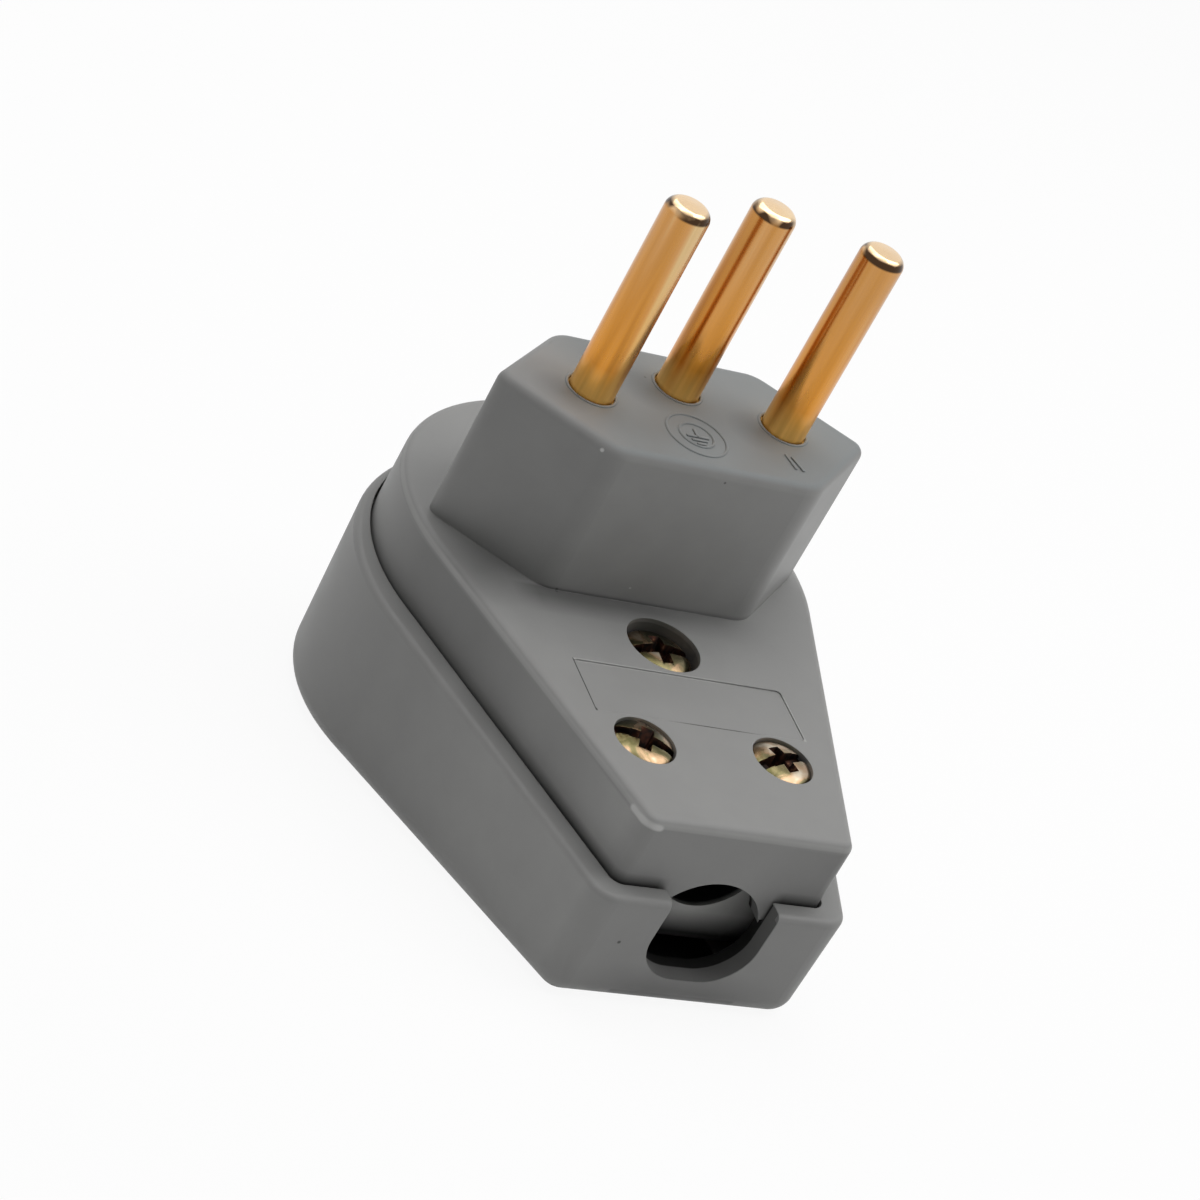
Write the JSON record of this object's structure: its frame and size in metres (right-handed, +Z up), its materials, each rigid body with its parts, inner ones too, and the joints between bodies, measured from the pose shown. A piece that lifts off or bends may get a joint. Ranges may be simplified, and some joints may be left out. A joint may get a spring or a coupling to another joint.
{
  "type": "grounded plug",
  "caption": "Right-angle rewireable mains plug with round line, neutral and earth pins on a flat six-sided nose, in two screwed grey shells with a cord entry at the end.",
  "frame": {"origin": "on the flat back face, under the middle of the nose", "axes": "+Z up from the back the plug lies on, +X from the line pin to the neutral pin, -Y towards the cord entry; the pins lean about 7 degrees from +Z towards -Y"},
  "size_m": [0.0428, 0.0599, 0.0559],
  "materials": {
    "shell_grey": "moulded grey plastic, fine matt grain",
    "inner_plastic": "moulded grey plastic",
    "clamp_grey": "moulded grey plastic",
    "pin_brass": "drawn brass, satin with fine marks along the pin",
    "zinc_yellow": "steel with a pale yellow zinc plating",
    "bright_steel": "bright zinc-plated steel"
  },
  "bodies": {
    "root": {"front_shell": "shell_grey", "rear_shell": "shell_grey", "pin_retainer": "inner_plastic", "cord_clamp": "clamp_grey", "cover_screw": "zinc_yellow", "line_pin": "pin_brass", "line_clamp_washer": "bright_steel", "line_terminal_screw": "bright_steel", "neutral_pin": "pin_brass", "neutral_clamp_washer": "bright_steel", "neutral_terminal_screw": "bright_steel", "earth_pin": "pin_brass", "earth_clamp_washer": "bright_steel", "earth_terminal_screw": "bright_steel", "clamp_screw_left": "zinc_yellow", "clamp_nut_left": "bright_steel", "retainer_screw_left": "bright_steel", "clamp_screw_right": "zinc_yellow", "clamp_nut_right": "bright_steel", "retainer_screw_right": "bright_steel"}
  },
  "joints": []
}
